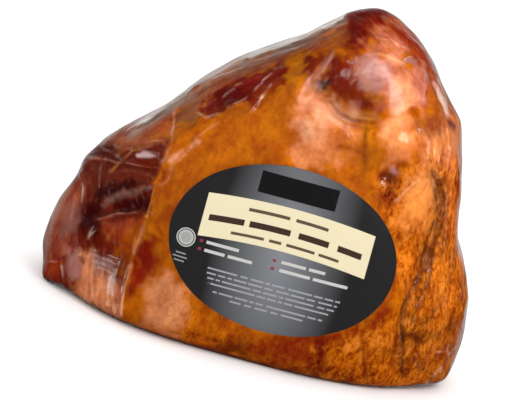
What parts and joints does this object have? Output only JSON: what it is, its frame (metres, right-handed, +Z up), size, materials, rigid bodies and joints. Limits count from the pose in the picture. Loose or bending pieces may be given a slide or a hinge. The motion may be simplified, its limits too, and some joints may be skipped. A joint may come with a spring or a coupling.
{
  "type": "sealed smoked half ham",
  "caption": "Boneless smoked half ham standing on its flat cut face, sealed tight in clear shrink film with an oval paper label on the front.",
  "frame": {"origin": "on the floor, under the middle of the whole part's box; the flat cut face lies at z = 0", "axes": "+Z up from the cut face to the crown, -Y out of the broad front with the label, +X to the viewer's right of that front"},
  "size_m": [0.2194, 0.1222, 0.1741],
  "materials": {
    "ham_in_clear_film": "golden to dark red smoked meat under glossy clear film",
    "label_paper": "coated paper, satin black with a cream band"
  },
  "bodies": {
    "root": {"sealed_ham": "ham_in_clear_film", "label": "label_paper"}
  },
  "joints": []
}
